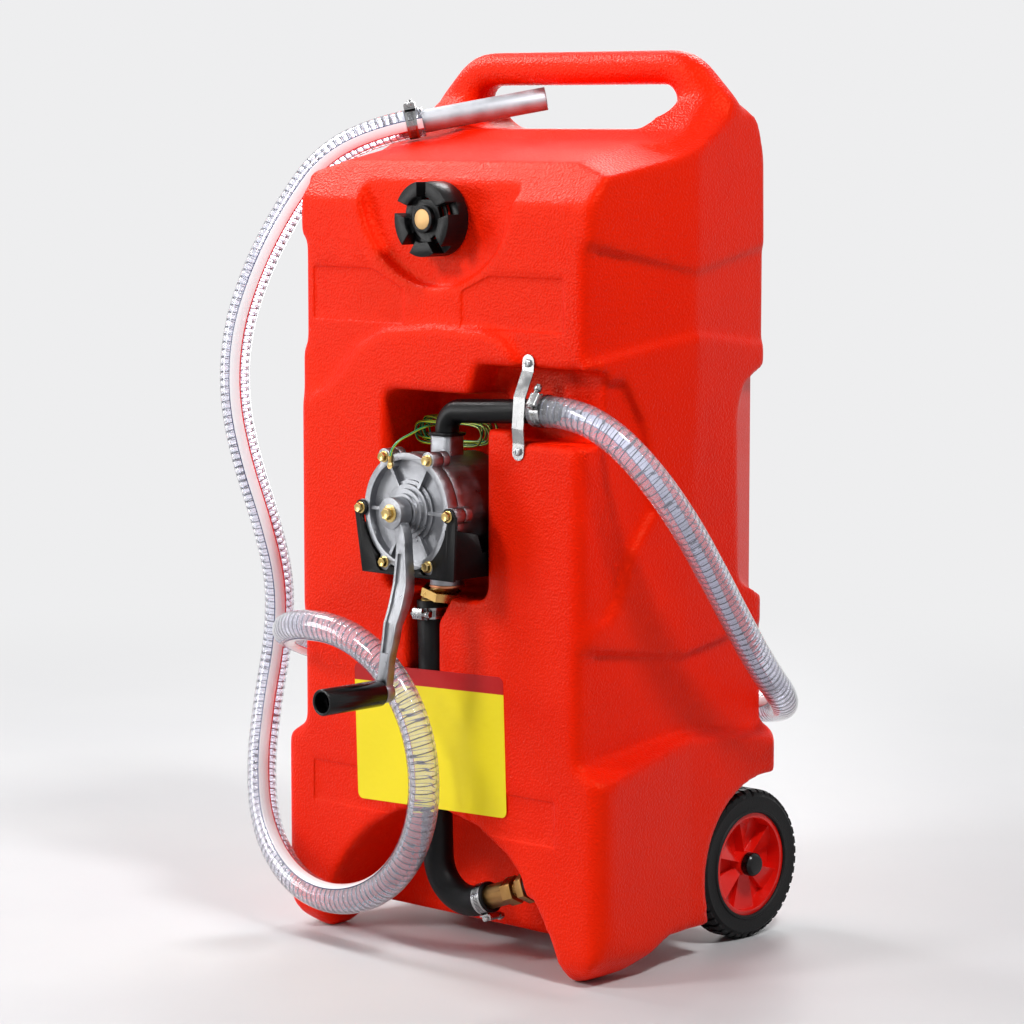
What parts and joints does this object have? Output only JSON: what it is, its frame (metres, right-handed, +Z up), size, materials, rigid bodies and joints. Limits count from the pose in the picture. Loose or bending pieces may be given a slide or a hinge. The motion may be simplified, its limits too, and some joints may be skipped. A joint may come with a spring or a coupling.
{
  "type": "fuel caddy",
  "caption": "Wheeled fuel caddy: a tall moulded tank with a grab handle, a hand-cranked rotary pump in its front, a suction hose and a clear delivery hose with a spout.",
  "frame": {"origin": "on the floor, midway between the tank's sides and midway between the crank grip's free end and the back of the tyres", "axes": "+X to the side on which the delivery hose leaves the pump, +Y from the front, with the pump, towards the back, with the wheels, +Z up"},
  "size_m": [0.6104, 0.538, 0.94],
  "materials": {
    "tank_red": "moulded grain",
    "sticker": "printed film, blank",
    "cap_black": "moulded",
    "disc_brass": "turned",
    "seal_rubber": "matt",
    "pump_alloy": "die cast",
    "bolt_zinc": "yellow zinc plated",
    "rotor_metal": "machined",
    "vane_plastic": "satin",
    "shaft_steel": "ground",
    "bush_bronze": "sintered",
    "bracket_black": "satin powder coat",
    "grip_black": "satin",
    "pipe_black": "satin",
    "stainless": "bright",
    "washer_copper": "dull copper",
    "fitting_brass": "turned",
    "hose_black": "smooth",
    "hose_clear": "clear with a steel spiral and a white stripe",
    "spout_alloy": "matt anodised",
    "wire_green": "green with a yellow stripe",
    "tyre_rubber": "matt",
    "rim_red": "moulded",
    "hub_black": "moulded"
  },
  "bodies": {
    "caddy": {"tank": "tank_red", "info_sticker": "sticker", "pump_cover": "pump_alloy", "cover_gasket": "seal_rubber", "pump_housing": "pump_alloy", "cover_bolts": "bolt_zinc", "shaft_bushes": "bush_bronze", "shaft_seal": "seal_rubber", "pump_bracket": "bracket_black", "bracket_bolts": "bolt_zinc", "neck_lip": "seal_rubber", "elbow_pipe": "pipe_black", "pipe_strap": "stainless", "strap_screws": "stainless", "inlet_washer": "washer_copper", "inlet_tail": "fitting_brass", "suction_hose": "hose_black", "outlet_fitting": "fitting_brass", "outlet_nut": "fitting_brass", "outlet_gasket": "seal_rubber", "delivery_hose": "hose_clear", "nozzle_pipe": "spout_alloy", "earth_wire": "wire_green", "earth_hank": "wire_green", "earth_screw": "bolt_zinc", "axle": "shaft_steel", "wheel_washers": "vane_plastic", "hub_caps": "hub_black", "suction_clamps": "stainless", "delivery_clamp": "stainless", "nozzle_clamp": "stainless"},
    "cap_seal": {"cap_gasket": "seal_rubber"},
    "cap": {"filler_cap": "cap_black", "cap_disc": "disc_brass"},
    "crank": {"crank_arm": "pump_alloy", "crank_bolt": "bolt_zinc", "grip_pin": "shaft_steel", "crank_shaft": "shaft_steel", "pump_rotor": "rotor_metal", "rotor_vanes": "vane_plastic"},
    "grip": {"crank_grip": "grip_black"},
    "left_wheel": {"left_rim": "rim_red", "left_tyre": "tyre_rubber", "left_wheel_bush": "vane_plastic"},
    "right_wheel": {"right_rim": "rim_red", "right_tyre": "tyre_rubber", "right_wheel_bush": "vane_plastic"}
  },
  "joints": [
    {"name": "crank_turn", "type": "hinge", "parent": "caddy", "child": "crank", "pos_m": [0.01, -0.15, 0.472], "axis": [0, 1, 0], "continuous": true},
    {"name": "grip_spin", "type": "hinge", "parent": "crank", "child": "grip", "pos_m": [0.01, -0.228, 0.29], "axis": [0, 1, 0], "continuous": true},
    {"name": "cap_lift", "type": "slide", "parent": "caddy", "child": "cap_seal", "axis": [0, -1, 0], "range_m": [0, 0.016]},
    {"name": "cap_turn", "type": "hinge", "parent": "cap_seal", "child": "cap", "pos_m": [-0.008, -0.096, 0.767], "axis": [0, -1, 0], "range_deg": [0, 1440]},
    {"name": "left_wheel_spin", "type": "hinge", "parent": "caddy", "child": "left_wheel", "pos_m": [-0.173, 0.189, 0.08], "axis": [1, 0, 0], "continuous": true},
    {"name": "right_wheel_spin", "type": "hinge", "parent": "caddy", "child": "right_wheel", "pos_m": [0.173, 0.189, 0.08], "axis": [1, 0, 0], "continuous": true}
  ],
  "couplings": [
    {"joint": "cap_lift", "follows": "cap_turn", "m_per_rad": 0.00063661}
  ]
}
